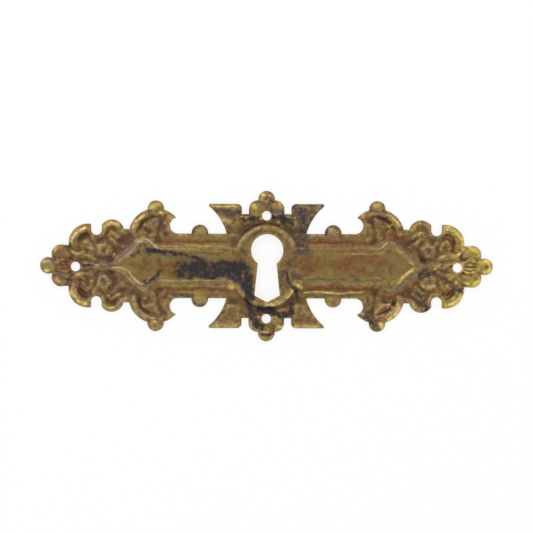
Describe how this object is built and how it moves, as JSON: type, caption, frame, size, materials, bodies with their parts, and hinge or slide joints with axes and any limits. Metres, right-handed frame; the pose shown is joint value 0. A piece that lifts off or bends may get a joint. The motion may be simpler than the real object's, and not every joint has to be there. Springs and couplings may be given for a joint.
{
  "type": "keyhole escutcheon",
  "caption": "Pressed brass keyhole escutcheon: a long pierced plate with an arrow-ended panel, beaded scrollwork ends and nail holes, which covers the keyhole of a drawer or cupboard.",
  "frame": {"origin": "centre of the plate's length and height, on its flat back", "axes": "+X along the plate's length, +Y towards the keyhole's round end, +Z out of the front"},
  "size_m": [0.1142, 0.038, 0.0023],
  "materials": {
    "aged_brass": "satin, darkened with age in the recesses and rubbed bright on the high points"
  },
  "bodies": {
    "root": {"escutcheon_plate": "aged_brass"}
  },
  "joints": []
}
